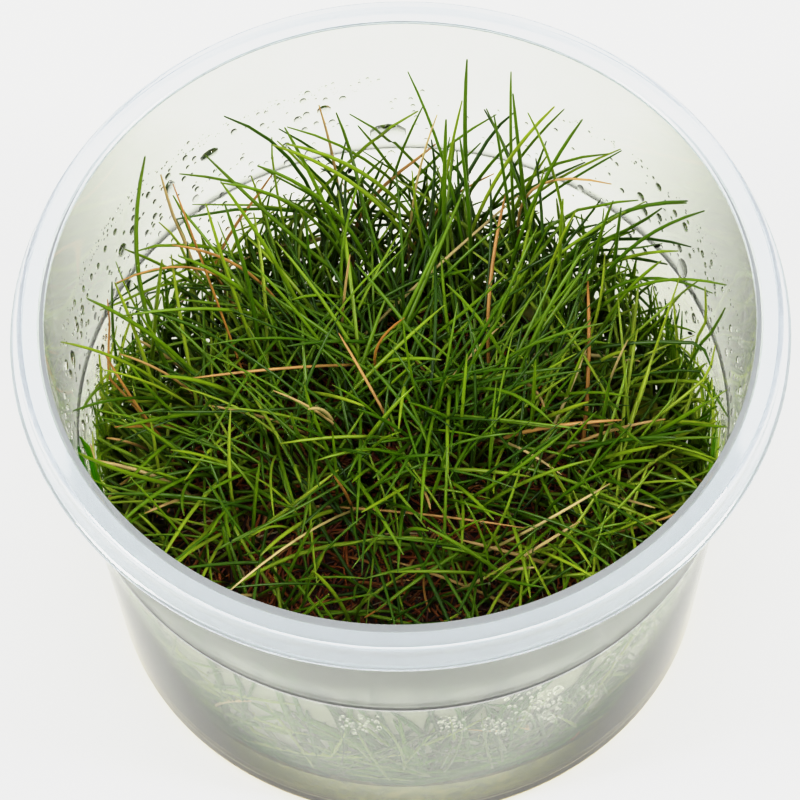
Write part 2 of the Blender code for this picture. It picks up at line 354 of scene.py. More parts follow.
def wall_and_collar(height):
    """The inner radii of the lower wall and of the collar at a height, each carried on past the step."""
    low = BASE_RADIUS + (STEP_RADIUS - BASE_RADIUS) * height / STEP_HEIGHT - WALL
    foot = STEP_RADIUS + STEP_WIDTH - WALL
    high = foot + (MOUTH_RADIUS - foot) * (height - STEP_HEIGHT) / (CUP_TOP - STEP_HEIGHT)
    return low, high


def inside_radius(height):
    """The cup's inner radius at a height, for one height or an array of them."""
    return np.where(height < STEP_HEIGHT, *wall_and_collar(height))


def step_bend(offset, shares):
    """The wall's soft bend at the step, moved outwards by an offset, for shares of its way up."""
    low, high = STEP_HEIGHT - STEP_SOFTNESS, STEP_HEIGHT + STEP_RISE + STEP_SOFTNESS
    points = []
    for share in shares:
        height = low + (high - low) * share
        below, above = wall_and_collar(height)
        blend = share * share * (3 - 2 * share)
        points.append((below + (above - below) * blend + offset, height))
    return points


def cup_profile():
    """From under the floor up the outside, over the rim and down to the floor inside."""
    under_bead, on_bead, over_bead = STEP_PLACES
    skirt_bottom = CUP_TOP - SKIRT_DROP
    under_flange = CUP_TOP - FLANGE_THICKNESS
    corner_r = float(inside_radius(FLOOR_TOP + INSIDE_CORNER)) - INSIDE_CORNER
    return [
        (FOOT_INNER_RADIUS - FOOT_RECESS, FOOT_RECESS),
        (FOOT_INNER_RADIUS, 0.0),
        *arc(BASE_RADIUS - BASE_ROUNDING, BASE_ROUNDING, BASE_ROUNDING, -90, 0),
        *step_bend(WALL, under_bead),
        *step_bend(WALL + STEP_BEAD, on_bead),
        *step_bend(WALL, over_bead),
        (MOUTH_RADIUS + WALL - FLANGE_FILLET[0], under_flange - FLANGE_FILLET[1]),
        (MOUTH_RADIUS + WALL, under_flange),
        (FLANGE_RADIUS - SKIRT_WALL, under_flange),
        (SKIRT_RADIUS - SKIRT_WALL, skirt_bottom + SKIRT_EDGE),
        (SKIRT_RADIUS - SKIRT_WALL + SKIRT_EDGE, skirt_bottom),
        *arc(SKIRT_RADIUS - SKIRT_BEAD, skirt_bottom + SKIRT_BEAD, SKIRT_BEAD, -90, 60, EDGE_PARTS),
        (SKIRT_RADIUS - SKIRT_BEAD - SKIRT_NECK[0], skirt_bottom + SKIRT_NECK[1]),
        (FLANGE_RADIUS + SKIRT_SHOULDER[0], CUP_TOP - SKIRT_SHOULDER[1]),
        (FLANGE_RADIUS, CUP_TOP - FLANGE_ROUNDING * 2),
        *arc(FLANGE_RADIUS - FLANGE_ROUNDING, CUP_TOP - FLANGE_ROUNDING, FLANGE_ROUNDING, 0, 90),
        *arc(MOUTH_RADIUS + MOUTH_ROUNDING, CUP_TOP - MOUTH_ROUNDING, MOUTH_ROUNDING, 90, 180, EDGE_PARTS),
        *step_bend(0.0, [1 - i / STEP_PARTS for i in range(STEP_PARTS + 1)]),
        *arc(corner_r, FLOOR_TOP + INSIDE_CORNER, INSIDE_CORNER, -WALL_LEAN, -90),
    ]


def culture_cup():
    """The moulded cup: clear wall, frosted collar, milky rim, fine bead at its step, and a foot painted with
    the gel's glow.
    """
    cup = turned("culture_cup", cup_profile())
    for part, *finish in CUP_FINISHES:
        cup.data.materials.append(polypropylene("polypropylene_" + part, *finish))
    rim_foot = CUP_TOP - SKIRT_DROP - SKIRT_EDGE / 2
    (_, bead_low), (_, bead_high) = step_bend(0.0, (STEP_PLACES[0][-1], STEP_PLACES[2][0]))
    for face in cup.data.polygons:
        x, y, z = face.center
        outwards = face.normal.x * x + face.normal.y * y > 0
        if z > rim_foot and math.hypot(x, y) > MOUTH_RADIUS + WALL / 2 or z > CUP_TOP - MOUTH_ROUNDING:
            finish = RIM_FINISH
        elif outwards and bead_low < z < bead_high:
            finish = BEAD_FINISH
        # the foot's faces take the ochre finish, a painted glow of the gel seen through them
        elif outwards and z < BASE_ROUNDING:
            finish = FOOT_PAINTED_GEL_GLOW
        elif outwards and z > STEP_HEIGHT:
            finish = COLLAR_FINISH
        else:
            finish = WALL_FINISH
        face.material_index = finish
    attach(cup, "root")
    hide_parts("cup")


def gel_disc(mat):
    """The gel, which fills the cup's foot and climbs a little at its wall."""
    bottom = FLOOR_TOP + GEL_GAP
    corner_r = float(inside_radius(bottom + INSIDE_CORNER)) - GEL_GAP - INSIDE_CORNER
    top_r = float(inside_radius(GEL_TOP + GEL_MENISCUS)) - GEL_GAP
    profile = [
        *arc(corner_r, bottom + INSIDE_CORNER, INSIDE_CORNER, -90, -WALL_LEAN),
        (top_r, GEL_TOP + GEL_MENISCUS),
        *((top_r - inwards, GEL_TOP + rise) for inwards, rise in MENISCUS_BEND),
    ]
    gel = turned("culture_gel", profile)
    gel.data.materials.append(mat)
    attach(gel, "root")
    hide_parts("nutrient_gel")


def peat_dome(mat):
    """The root mat: the solid's dome, divided and roughened into lumps."""
    dome = linked("matted_roots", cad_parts["root_mat"].data.copy())
    dome.data.materials.clear()
    bpy.context.view_layer.objects.active = dome
    dome.select_set(True)
    bpy.ops.object.mode_set(mode="EDIT")
    bpy.ops.mesh.select_all(action="SELECT")
    bpy.ops.mesh.remove_doubles(threshold=0.01 * MM)
    bpy.ops.mesh.tris_convert_to_quads()
    bpy.ops.object.mode_set(mode="OBJECT")
    smooth = dome.modifiers.new("Divide", "SUBSURF")
    smooth.levels = smooth.render_levels = MAT_DIVISIONS
    lumps = bpy.data.textures.new("root_lumps", "CLOUDS")
    lumps.noise_scale = MAT_LUMPS
    lumps.noise_depth = 3
    rough = dome.modifiers.new("Lumps", "DISPLACE")
    rough.texture = lumps
    rough.texture_coords = "LOCAL"
    rough.strength = MAT_LUMPS
    rough.mid_level = MAT_SUNK
    for name in ("Divide", "Lumps"):
        bpy.ops.object.modifier_apply(modifier=name)
    bpy.ops.object.shade_smooth()
    dome.select_set(False)
    dome.data.materials.append(mat)
    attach(dome, "root")
    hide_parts("root_mat")
    return BVHTree.FromPolygons([v.co for v in dome.data.vertices], [p.vertices for p in dome.data.polygons])


def unit(vectors):
    """Vectors of an array scaled to length one, or left where they have none."""
    return vectors / np.maximum(np.linalg.norm(vectors, axis=-1, keepdims=True), 1e-12)


ASKEW = (0.31, 0.87, 0.39)  # a way that no strand starts along
FLAT_CORNERS = 5  # a face with as many corners or more shades flat


def strands(name, paths, radii, tints, sides, mat, slot, replaced=None):
    """Many closed round strands as one mesh: paths (count, stations, 3), radii (count, stations)."""
    count, stations = radii.shape
    headings = unit(np.gradient(paths, axis=1))
    aside = unit(np.cross(headings[:, 0], unit(np.cross(headings[:, 0], ASKEW))))
    rings = []
    for i in range(stations):
        heading = headings[:, i]
        aside = unit(aside - heading * np.sum(aside * heading, axis=1, keepdims=True))
        over = np.cross(heading, aside)
        for side in range(sides):
            angle = math.tau * side / sides
            offset = aside * math.cos(angle) + over * math.sin(angle)
            rings.append(paths[:, i] + offset * radii[:, i, None])
    ends = [paths[:, 0], paths[:, -1] + headings[:, -1] * radii[:, -1, None] * 2]
    verts = np.stack(rings + ends, axis=1)
    pairs = [(side, (side + 1) % sides) for side in range(sides)]
    top = (stations - 1) * sides
    quads = [(i + a, i + b, i + b + sides, i + a + sides) for i in range(0, top, sides) for a, b in pairs]
    foot_end, tip_end = top + sides, top + sides + 1
    fans = [fan for a, b in pairs for fan in ((foot_end, b, a), (tip_end, top + a, top + b))]
    starts = np.arange(count)[:, None, None] * verts.shape[1]
    quads = (starts + np.array(quads)).reshape(-1, 4)
    fans = (starts + np.array(fans)).reshape(-1, 3)
    mesh = bpy.data.meshes.new(name)
    mesh.from_pydata(verts.reshape(-1, 3), [], quads.tolist() + fans.tolist())
    along = np.concatenate([np.repeat(np.linspace(0, 1, stations), sides), (0.0, 1.0)])
    data = np.zeros(verts.shape, np.float32)
    data[..., 0] = tints[:, None]
    data[..., 1] = along
    mesh.attributes.new("strand", "FLOAT_VECTOR", "POINT").data.foreach_set("vector", data.ravel())
    piece = placed(name, mesh, mat)
    if replaced:
        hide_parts(replaced)


def placed(name, mesh, mat):
    """A piece of the part: a mesh with its material, smooth but for its many-sided faces."""
    for face in mesh.polygons:
        face.use_smooth = face.loop_total < FLAT_CORNERS
    mesh.materials.append(mat)
    piece = linked(name, mesh)
    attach(piece, "root")
    return piece


TIP_BASE = 0.3  # where a ball's tip begins, in radii over its middle


def small_shape(segments, rings, half=False, tip=1.0):
    """The points and faces of a ball of radius one, or of its upper half, drawn in towards its top."""
    bpy.ops.mesh.primitive_uv_sphere_add(segments=segments, ring_count=rings, radius=1.0)
    piece = bpy.context.object
    bpy.ops.object.mode_set(mode="EDIT")
    if half:
        bpy.ops.mesh.bisect(plane_co=(0, 0, 0), plane_no=(0, 0, 1), clear_inner=True, use_fill=True)
    bpy.ops.object.mode_set(mode="OBJECT")
    for vert in piece.data.vertices:
        if vert.co.z > TIP_BASE:
            vert.co.xy *= tip
    mesh = piece.data
    points = np.array([v.co[:] for v in mesh.vertices])
    faces = [tuple(p.vertices) for p in mesh.polygons]
    bpy.data.objects.remove(piece)
    bpy.data.meshes.remove(mesh)
    return points, faces


def copies(name, shape, places, axes, sizes, mat):
    """Copies of a small shape as one mesh: places (count, 3), axes (count, 3, 3), sizes (count, 3)."""
    points, faces = shape
    verts = places[:, None] + np.einsum("pk,nk,nkc->npc", points, sizes, axes)
    every = [tuple(i * len(points) + v for v in face) for i in range(len(places)) for face in faces]
    mesh = bpy.data.meshes.new(name)
    mesh.from_pydata(verts.reshape(-1, 3), [], every)
    placed(name, mesh, mat)


# The greens of stems in the air, and of those that water holds against the wall
FRESH_GREENS = ((0.0, "#2C4A04"), (0.35, "#486C04"), (0.7, "#6E900E"), (0.93, "#98AE2A"))
WETTED_GREENS = ((0.0, "#1C4A00"), (0.5, "#387200"), (0.93, "#6C9800"))

# The stems: how many, how long and how far they lean, from the cup's middle to its wall
STEM_STATIONS = 10
STEM_SIDES = 5
STEM_TAPER = ((0, 0.8), (0.1, 1.0), (0.7, 0.94), (0.92, 0.72), (1.0, 0.36))  # place along it, thickness
STEMS_PER_TUFT = 37
CROWN_HEIGHT = 3 * MM  # of the part of a tuft's solid that is its foot
TUFT_REACH = 6.5 * MM  # from a tuft's foot to its outermost roots
ROOT_DEPTH = 0.4 * MM
STEM_RADII = (0.18 * MM, 0.31 * MM)
STEM_PARTS = (0.42, 0.77)  # a stem's height, as a part of the clump's
TALL_STEMS = 1  # in each tuft, nearly as high as the clump
TALL_PARTS = (0.86, 0.96)
TALL_LEAN = 12  # degrees
STEM_LENGTH_MOST = 52 * MM
CLUMP_HEIGHT = 58 * MM  # over the cup's middle
CLUMP_RISE_BACK = 3 * MM
CLUMP_DROP_FRONT = 18 * MM
CLUMP_DROP_SIDE = 9 * MM
CORNER_DROP = 24 * MM  # towards the clump's back corners, for most stems
CLUMP_REACH = 31.8 * MM
LEAN_MIDDLE = 24  # degrees from upright
LEAN_EDGE = 40
LEAN_GROWTH = 1.3  # over one, the lean grows late on the way to the edge
LEAN_SPREAD = 14  # degrees
LEAN_LIMITS = (2, 72)
LEAN_COUNTED = 1.0  # radians: more lean makes a stem no longer
LEAN_ALONG = 0.9  # a stem's mean lean, as a part of that at its root
AIM_OUTWARDS = (0.1, 0.65)  # how much stems aim outwards in the middle, and how much more at the edge
AIM_SPREAD = 0.8
DROOP = (0.6, 0.5)  # radians: mean and spread
ARCHING_SHARE = 0.24  # of the stems droop more
ARCHING_DROOP = (1.4, 0.3)
SWAY = 0.65  # radians to either side
SAG = 0.35  # how much a droop also pulls down
TIP_ROOM = (0.5, 5)  # mm under the highest place
GRASS_EDGE = 34 * MM  # where the outermost stems root
EDGE_SPREAD = 2 * MM
WALL_CLEARANCE = 0.15 * MM
FLOOR_CLEARANCE = 1 * MM  # over the gel or the cup's floor
GREEN_TINTS = (-0.05, 0.85)
PALEST_GREEN = 0.93  # tints over this are dead stems'
DEAD_TINTS = (0.95, 1.0)
DEAD_SHARE = 0.035
SIDE_PAINTED_LIGHT = 0.6  # painted light: how much lighter the clump's sides are painted, for light through the wall
THIN_SHARE = 0.78  # of the stems are missing where the roots show
THIN_PLACE = (-6 * MM, -15 * MM)
THIN_SIZE = (22 * MM, 10 * MM)

# Stems that stand out in the photo: the tip's pixel and height (mm), the middle's and root's pixels
TRACED_GREEN = (
    (467, 60, 61, 465, 125, 482, 300), (462, 101, 59, 452, 145, 430, 290), (511, 72, 61, 511, 148, 520, 300),
    (513, 94, 59, 520, 160, 540, 310), (554, 107, 59, 522, 142, 455, 300), (528, 113, 58, 548, 157, 556, 330),
    (582, 120, 57, 552, 166, 500, 330), (494, 115, 58, 502, 163, 520, 300), (687, 201, 50, 622, 213, 545, 330),
    (686, 203, 49, 650, 205, 560, 330), (704, 211, 50, 669, 224, 570, 350), (613, 201, 50, 604, 224, 590, 340),
    (621, 208, 52, 617, 240, 612, 350), (678, 251, 44, 637, 255, 540, 330), (726, 285, 44, 658, 281, 560, 360),
    (712, 293, 44, 650, 278, 560, 370), (725, 308, 46, 717, 328, 690, 400), (705, 287, 48, 706, 322, 690, 420),
    (661, 261, 46, 637, 281, 590, 370), (563, 199, 54, 561, 228, 560, 340), (576, 211, 53, 563, 235, 545, 350),
    (460, 139, 56, 465, 174, 470, 310), (446, 120, 57, 445, 153, 445, 300), (408, 72, 60, 440, 150, 470, 320),
    (285, 128, 57, 316, 186, 370, 330), (273, 145, 57, 340, 175, 440, 300), (287, 144, 56, 340, 161, 450, 290),
    (258, 166, 58, 308, 190, 380, 310), (221, 182, 56, 256, 232, 330, 370), (221, 183, 56, 270, 194, 360, 300),
    (206, 204, 54, 224, 263, 275, 400), (225, 205, 54, 245, 270, 262, 400), (145, 157, 52, 139, 278, 200, 420),
    (112, 282, 46, 114, 347, 130, 450), (115, 283, 46, 139, 343, 170, 450), (88, 299, 46, 147, 332, 230, 420),
    (61, 342, 44, 100, 352, 200, 420), (162, 260, 50, 157, 300, 150, 420), (179, 256, 50, 222, 276, 300, 370),
    (112, 335, 44, 165, 405, 240, 450), (161, 376, 44, 215, 386, 275, 425), (118, 428, 38, 185, 415, 275, 418),
    (185, 480, 32, 219, 441, 290, 395), (128, 482, 34, 175, 439, 230, 415), (171, 450, 38, 215, 460, 270, 495),
    (82, 410, 40, 96, 390, 150, 400), (73, 411, 40, 130, 398, 200, 410), (171, 467, 38, 139, 479, 112, 510),
    (75, 452, 36, 125, 472, 200, 490), (228, 590, 25, 351, 543, 490, 572), (261, 555, 31, 319, 515, 380, 505),
    (296, 509, 34, 264, 494, 225, 440), (314, 522, 36, 296, 557, 279, 607), (324, 552, 31, 303, 589, 285, 612),
    (406, 618, 25, 363, 512, 313, 432), (362, 512, 36, 400, 490, 450, 462), (294, 504, 34, 281, 462, 270, 400),
    (642, 444, 38, 598, 417, 540, 410), (575, 470, 40, 596, 500, 592, 575), (665, 504, 33, 611, 481, 560, 480),
    (616, 560, 28, 585, 520, 530, 500), (697, 487, 36, 673, 466, 630, 462), (712, 462, 38, 694, 455, 650, 452),
    (711, 400, 44, 666, 427, 600, 465), (727, 427, 42, 690, 424, 640, 420), (588, 402, 44, 565, 410, 520, 430),
    (657, 446, 38, 631, 451, 560, 475), (610, 378, 46, 603, 420, 594, 480), (626, 528, 30, 628, 540, 632, 560),
    (637, 513, 32, 621, 525, 595, 545),
)
TRACED_DEAD = (
    (611, 184, 50, 580, 179, 535, 300), (437, 115, 57, 425, 150, 410, 290), (173, 184, 54, 206, 272, 260, 420),
    (116, 283, 46, 162, 268, 290, 360), (172, 245, 50, 203, 251, 300, 340), (404, 318, 44, 375, 355, 398, 400),
    (350, 255, 46, 345, 290, 340, 360), (430, 612, 25, 424, 590, 428, 560), (364, 618, 25, 389, 602, 436, 562),
    (628, 340, 44, 612, 375, 600, 420), (104, 352, 42, 131, 397, 185, 465), (120, 354, 44, 149, 365, 215, 415),
    (115, 427, 38, 149, 426, 200, 428), (107, 438, 36, 131, 443, 160, 458), (655, 508, 32, 631, 501, 590, 492),
    (614, 423, 36, 597, 426, 578, 420), (334, 476, 36, 347, 496, 356, 520),
)
TRACED_STATIONS = 13
TRACED_SIDES = 6
TRACED_TINTS = (0.35, 0.93)
TRACED_STEP = 0.5 * MM  # a tip outside the wall is tried this much higher
TRACED_CLEARANCE = WALL_CLEARANCE * 3
TRACED_RADII = (0.22 * MM, 0.34 * MM)
TRACED_DEAD_RADII = (0.15 * MM, 0.24 * MM)
ROOT_GUESS = 21 * MM  # about the mat's height

# Tufts that lie against the wall: azimuths in degrees, how many, stems in each, radii, lengths, tints
FRONT_TUFTS = (192, 348, 15, 9, (0.32 * MM, 0.55 * MM), (10 * MM, 32 * MM), (0.0, 0.8))
WALL_TUFTS = (-20, 200, 75, 8, (0.17 * MM, 0.3 * MM), (7 * MM, 22 * MM), (0.2, 0.93))
PRESSED_SPREAD = 0.04  # radians along the wall
PRESSED_FOOT = (9.8 * MM, 12 * MM)
PRESSED_GAP = (0.0, 1.2)  # mm off the wall at its foot
PRESSED_LEAN = 0.3  # radians, as the next two
PRESSED_CURL = 0.5
PRESSED_ARCH = 2.6
PRESSED_ARCHES = 0.2  # of these stems arch over

# Stems and roots that run along the wall: how many, azimuths in degrees, heights, lengths, radii,
# lean in radians, gaps off the wall, tints
LYING_STEMS = (150, (186, 354), (9.9 * MM, 12.5 * MM), (9 * MM, 26 * MM), (0.2 * MM, 0.38 * MM), 1.45,
               (0.0, 1.2 * MM), (0.0, 0.8))
GEL_ROOTS = (300, (0, 360), (2.8 * MM, 9 * MM), (4 * MM, 13 * MM), (0.07 * MM, 0.22 * MM), 1.6,
             (0.1 * MM, 2 * MM), (0.2, 1.0))
LYING_SPREAD = 0.12  # radians of their lean
LYING_CURL = 0.25

# The loose roots on the mat
FIBRE_STATIONS = 8
FIBRE_SIDES = 4
MAT_FIBRES = 2200
MAT_FIBRE_LENGTH = (5 * MM, 18 * MM)
FIBRE_RADII = (0.07 * MM, 0.22 * MM)
FIBRES_REACH = 35.5 * MM
FIBRE_CURL = 0.8  # radians
FIBRE_LIFT = (0.1, 1.4)  # mm over the mat at its middle
FIBRE_DEPTH = 0.1 * MM

# Condensed drops. Zones: azimuths in degrees, heights and mean radius in mm, how many
DROP_ZONES = (
    (98, 190, 28, 50, 0.30, 420),
    (92, 195, 50, 52.5, 0.10, 280),
    (-12, 42, 28, 50, 0.32, 230),
    (-15, 60, 50, 52, 0.10, 120),
    (44, 92, 36, 50, 0.22, 60),
)
DROP_RANGE = (0.07, 0.75)  # mm
# The drops that stand out in the photo: pixel, radius (mm), and how much taller than wide
TRACED_DROPS = (
    (148, 195, 0.5, 1.3), (138, 206, 0.3, 1.3), (133, 218, 0.45, 1.3), (147, 233, 0.5, 1.3),
    (115, 232, 0.5, 1.3), (105, 249, 0.5, 1.3), (98, 266, 0.45, 1.3), (91, 277, 0.5, 1.3),
    (83, 289, 0.5, 1.3), (87, 296, 0.4, 1.3), (74, 303, 0.5, 1.3), (93, 308, 0.4, 1.3), (75, 320, 0.5, 1.3),
    (81, 322, 0.5, 1.3), (88, 322, 0.4, 1.3), (130, 287, 0.85, 1.7), (122, 250, 1.0, 1.2),
    (155, 216, 0.5, 1.3), (197, 189, 0.45, 1.2), (201, 208, 0.6, 1.1), (170, 188, 0.95, 1.7),
    (209, 154, 1.5, 0.6), (303, 101, 0.5, 1.2), (324, 110, 1.0, 1.0), (266, 112, 0.3, 1.2),
    (258, 114, 0.3, 1.2), (332, 122, 0.5, 1.2), (329, 165, 0.5, 1.2), (72, 358, 0.9, 1.6),
    (683, 268, 1.2, 1.5), (388, 132, 2.6, 0.7), (70, 374, 0.6, 1.6),
)
# Pixel boxes where drops show through the near wall, their mean radius (mm) and how many
NEAR_DROPS = (
    (440, 712, 465, 728, 0.22, 60), (483, 715, 505, 730, 0.22, 50), (505, 682, 560, 718, 0.24, 110),
    (580, 682, 600, 695, 0.2, 30), (595, 622, 650, 665, 0.24, 130), (640, 575, 690, 625, 0.22, 110),
    (340, 712, 380, 730, 0.22, 60), (125, 577, 197, 660, 0.2, 60),
)
DROP_SWELL = 0.44  # a drop's height off the wall, in its radii
DROP_TALL = 1.2  # times its width
DROP_SPREAD = 0.5  # of the natural logarithm of its radius
NEAR_SWELL = 0.85
NEAR_TALL = 1.15
NEAR_SPREAD = 0.4
NEAR_TOP = 50 * MM
DROP_GAP = 0.02 * MM
DROPS_APART = 0.05 * MM
DROP_SHAPE = (10, 8)  # its sides, and the rings of its whole ball
WALL_SLOPE_MOST = 0.2
MIST_CLEARNESS = 0.55  # of each of its two faces
MIST_GAP = 1.0 * MM  # off the wall, behind stems that touch it
MIST_BOTTOM = GEL_TOP + 0.3 * MM
MIST_TOP = 42 * MM  # in front, falling to nothing at the sides
MIST_ZONE = (190, 350)  # azimuths in degrees
MIST_ENDS = 0.3  # the smaller, the later it falls
MIST_WAVE = 0.5 * MM  # the height of the waves in its top
MIST_WAVES = 11  # round the whole cup
MIST_THICKNESS = 0.05 * MM
MIST_COLUMNS = 96
MIST_ROWS = 8
DEW_DROPS = 420
DEW_RADII = (0.1 * MM, 0.24 * MM)
DEW_LOWEST = 4  # of a stem's stations
DEW_HANG = 0.7  # its middle's way off the stem, in its radii
DEW_SHAPE = (8, 5)
SPIKELETS = 14
SPIKELET_SIZE = (0.24 * MM, 0.24 * MM, 0.8 * MM)
SPIKELET_SHAPE = (8, 6)
SPIKELET_TIP = 0.75
SPIKELET_BACK = 0.3 * MM  # from the stem's tip to its middle
SPIKELET_FACE = (0.3, 0.9, 0.1)  # a way that no stem's tip points


def crown(name):
    """A tuft's foot: the middle of the lowest part of its solid."""
    points = np.array([v.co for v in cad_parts[name].data.vertices])
    low = points[points[:, 2] < points[:, 2].min() + CROWN_HEIGHT]
    return low.mean(axis=0)


def height_on(tree, x, y):
    """The root mat's height under a point of the plan, or the gel's where there is no mat."""
    hit = tree.ray_cast(Vector((x, y, CUP_TOP)), DOWN)[0]
    return hit.z if hit else GEL_TOP


def within_wall(point, radii):
    """Points of the plan drawn in to where stems of these radii clear the wall."""
    out = np.hypot(point[..., 0], point[..., 1])
    limit = inside_radius(point[..., 2]) - WALL_CLEARANCE - radii
    point[..., :2] *= np.minimum(1.0, limit / np.maximum(out, MM))[..., None]
    return point


def grow(roots, heading, lengths, bends, radii):
    """Walks stems up from their roots. A stem that meets the wall follows it."""
    points = [roots]
    step = (lengths / (STEM_STATIONS - 1))[:, None]
    for i in range(1, STEM_STATIONS):
        heading = unit(heading + bends / (STEM_STATIONS - 1))
        point = within_wall(points[-1] + heading * step, radii)
        point[:, 2] = np.clip(point[:, 2], GEL_TOP + FLOOR_CLEARANCE, GRASS_TOP - radii * 2)
        heading = unit(point - points[-1])
        points.append(point)
    return np.stack(points, axis=1)


def clump_height(plan):
    """How high the tips stand over places of the plan. In its back corners only the tall stems do."""
    across, along = plan[:, 0] / CLUMP_REACH, plan[:, 1] / CLUMP_REACH
    slope = np.where(along > 0, CLUMP_RISE_BACK, CLUMP_DROP_FRONT)
    height = CLUMP_HEIGHT + slope * along - CLUMP_DROP_SIDE * across ** 2
    drop = CORNER_DROP * across ** 2 * np.maximum(along, 0)
    height[TALL_STEMS:] -= drop[TALL_STEMS:]
    return height


def tapered(radii, stations):
    """A stem keeps its thickness most of its way and runs to a point."""
    return radii[:, None] * np.interp(np.linspace(0, 1, stations), *zip(*STEM_TAPER))


def tuft_stems(name, tree, rng):
    """One tuft's stems: their paths, radii and tints."""
    foot = crown(name)
    count = STEMS_PER_TUFT
    angle = rng.uniform(0, math.tau, count)
    reach = TUFT_REACH * np.sqrt(rng.uniform(0, 1, count))
    plan = foot[:2] + np.stack([np.cos(angle), np.sin(angle)], axis=1) * reach[:, None]
    out = np.linalg.norm(plan, axis=1)
    plan *= np.minimum(1.0, (GRASS_EDGE + EDGE_SPREAD) / out)[:, None]
    share = np.minimum(1.0, out / GRASS_EDGE)
    roots = np.array([(x, y, height_on(tree, x, y) - ROOT_DEPTH) for x, y in plan])
    outwards = AIM_OUTWARDS[0] + AIM_OUTWARDS[1] * share
    aim = unit(unit(plan) * outwards[:, None] + rng.normal(0, AIM_SPREAD, (count, 2)))
    lean = LEAN_MIDDLE + (LEAN_EDGE - LEAN_MIDDLE) * share ** LEAN_GROWTH + rng.normal(0, LEAN_SPREAD, count)
    lean[:TALL_STEMS] = TALL_LEAN
    lean = np.radians(np.clip(lean, *LEAN_LIMITS))
    headings = np.concatenate([aim * np.sin(lean)[:, None], np.cos(lean)[:, None]], axis=1)
    part = rng.uniform(*STEM_PARTS, count)
    part[:TALL_STEMS] = rng.uniform(*TALL_PARTS, TALL_STEMS)
    lengths = (clump_height(plan) - roots[:, 2]) / np.cos(np.minimum(lean, LEAN_COUNTED)) * part
    lengths = np.minimum(lengths, STEM_LENGTH_MOST)
    droop = rng.normal(*DROOP, count)
    arching = rng.uniform(0, 1, count) < ARCHING_SHARE
    droop[arching] = rng.normal(*ARCHING_DROOP, arching.sum())
    side = np.stack([-aim[:, 1], aim[:, 0]], axis=1)
    bend = aim * droop[:, None] + side * rng.normal(0, SWAY, (count, 1))
    bends = np.concatenate([bend, -SAG * np.abs(droop)[:, None]], axis=1)
    radii = rng.uniform(*STEM_RADII, count)
    room = GRASS_TOP - rng.uniform(*TIP_ROOM, count) * MM - roots[:, 2]
    lengths = np.minimum(lengths, room / np.cos(lean * LEAN_ALONG))
    # painted light: stems are painted lighter towards the clump's sides, for light through the wall
    painted_side_light = SIDE_PAINTED_LIGHT * (plan[:, 0] / GRASS_EDGE) ** 2
    tints = np.clip(rng.uniform(*GREEN_TINTS, count) + painted_side_light, 0, PALEST_GREEN)
    dead = rng.uniform(0, 1, count) < DEAD_SHARE
    tints[dead] = rng.uniform(*DEAD_TINTS, dead.sum())
    gap = ((plan - THIN_PLACE) / THIN_SIZE) ** 2
    kept = rng.uniform(0, 1, count) > THIN_SHARE * np.exp(-gap.sum(axis=1))
    paths = grow(roots, headings, lengths, bends, radii)
    return paths[kept], tapered(radii, STEM_STATIONS)[kept], tints[kept]


def bow(root, middle, tip):
    """Stations on the smooth bow from a root through a middle point to a tip."""
    root, middle, tip = (np.array(point) for point in (root, middle, tip))
    first, second = np.linalg.norm(middle - root), np.linalg.norm(tip - middle)
    turn = first / (first + second)
    along = np.linspace(0, 1, TRACED_STATIONS)[:, None]
    return (root * (along - turn) * (along - 1) / turn
            + middle * along * (along - 1) / (turn * (turn - 1))
            + tip * along * (along - turn) / (1 - turn))


def traced_stems(tree, table, radius_range, tint_range, rng):
    """The paths, radii and tints of stems that stand out in the photo, rooted on the mat."""
    paths = []
    for row in table:
        tip_pixel, height, middle_pixel, root_pixel = row[:2], row[2], row[3:5], row[5:]
        foot = at_height(root_pixel, ROOT_GUESS)
        root = at_height(root_pixel, height_on(tree, foot.x, foot.y) - ROOT_DEPTH)
        tip = at_height(tip_pixel, height * MM)
        while math.hypot(tip.x, tip.y) > inside_radius(tip.z) - TRACED_CLEARANCE and tip.z < GRASS_TOP:
            tip = at_height(tip_pixel, tip.z + TRACED_STEP)
        paths.append(bow(root, beside(middle_pixel, root, tip), tip))
    radii = rng.uniform(*radius_range, len(table))
    paths = within_wall(np.array(paths), radii[:, None])
    paths[..., 2] = np.minimum(paths[..., 2], GRASS_TOP - TIP_ROOM[0] * MM)
    return paths, tapered(radii, TRACED_STATIONS), rng.uniform(*tint_range, len(table))


def along_wall(foot, azimuth, length, lean, curl, gap, radii, tint_range, rng):
    """Strands near the wall: each leaves its foot by its lean, curls, and nears the wall from a gap."""
    along = np.linspace(0, 1, STEM_STATIONS)
    angle = lean[:, None] + curl[:, None] * along
    step = (length / (STEM_STATIONS - 1))[:, None]
    height = foot[:, None] + np.cumsum(np.cos(angle), axis=1) * step
    height = np.clip(height, FLOOR_TOP + FLOOR_CLEARANCE, None)
    out = inside_radius(height) - WALL_CLEARANCE - radii[:, None] - gap[:, None] * (1 - along) ** 2
    turn = azimuth[:, None] + np.cumsum(np.sin(angle), axis=1) * step / out
    paths = np.stack([out * np.cos(turn), out * np.sin(turn), height], axis=2)
    return paths, tapered(radii, STEM_STATIONS), rng.uniform(*tint_range, len(radii))


